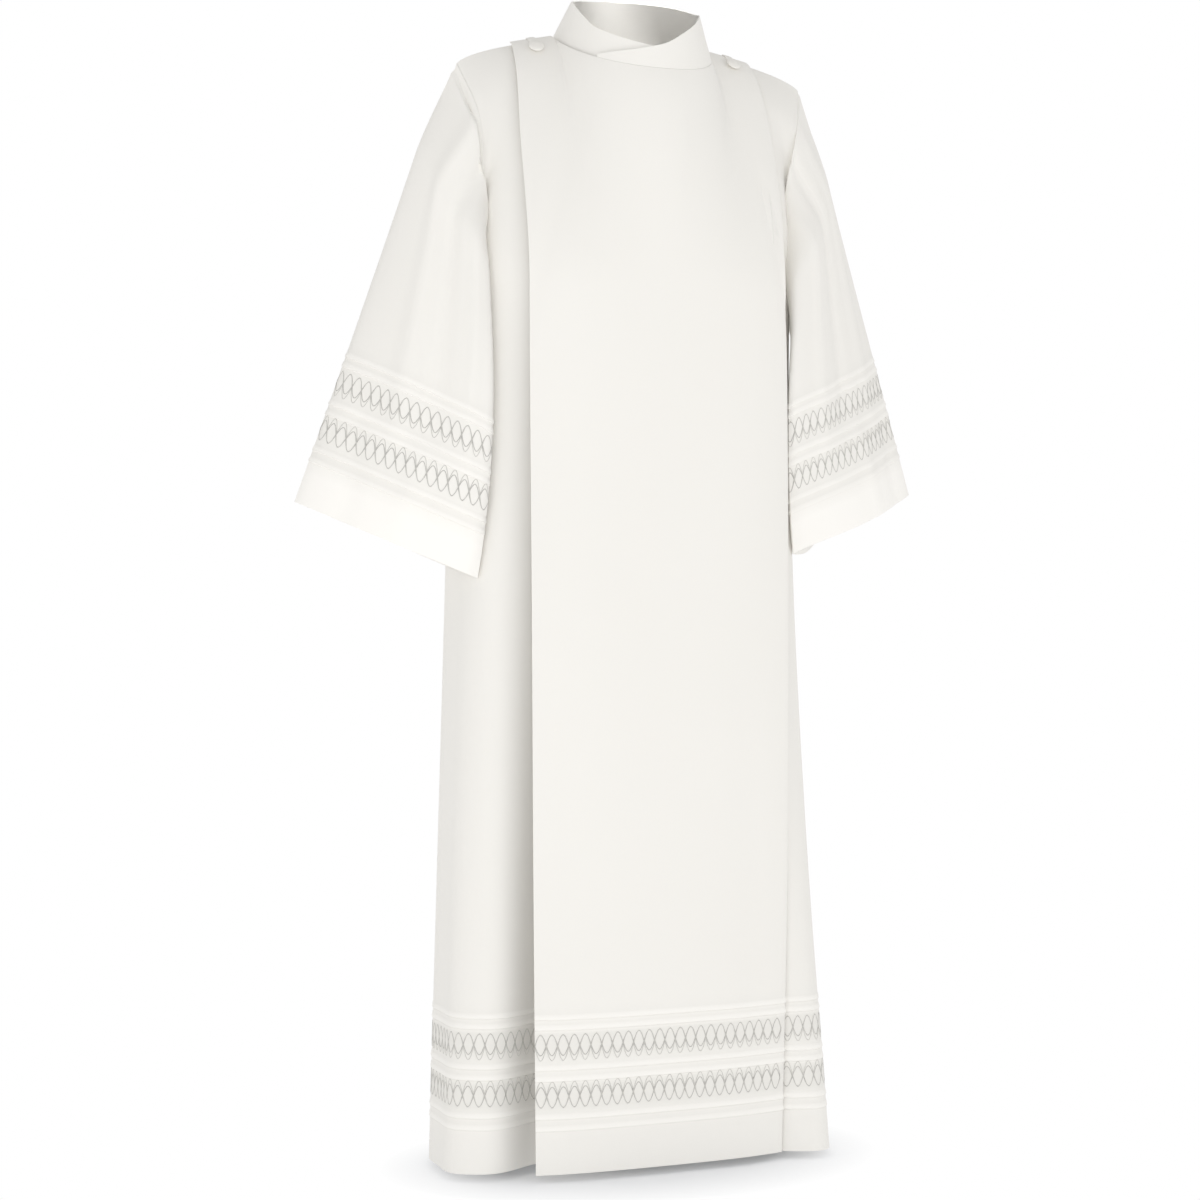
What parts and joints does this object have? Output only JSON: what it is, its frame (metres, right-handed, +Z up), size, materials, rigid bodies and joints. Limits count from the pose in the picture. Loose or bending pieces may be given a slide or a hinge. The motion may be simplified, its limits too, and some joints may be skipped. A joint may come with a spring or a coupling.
{
  "type": "alb robe",
  "caption": "Long cream vestment with a wrapped front panel, stand collar, wide sleeves and wave-embroidered bands at hem and cuffs, worn open with no wearer.",
  "frame": {"origin": "where the wearer's shoulders hold the garment: midway between the two neck ends of the shoulder seams", "axes": "+Z up, -Y to the garment's front, +X to the wearer's left"},
  "size_m": [0.8914, 0.3008, 1.5318],
  "materials": {
    "cream_cloth": "smooth matt woven cloth",
    "covered_button": "matt cloth-covered dome"
  },
  "bodies": {
    "root": {"back": "cream_cloth", "front_outer": "cream_cloth", "front_side": "cream_cloth", "front_under": "cream_cloth", "sleeve_right": "cream_cloth", "sleeve_left": "cream_cloth", "collar": "cream_cloth", "tab_right": "cream_cloth", "tab_left": "cream_cloth", "button_right": "covered_button", "button_left": "covered_button"}
  },
  "joints": []
}
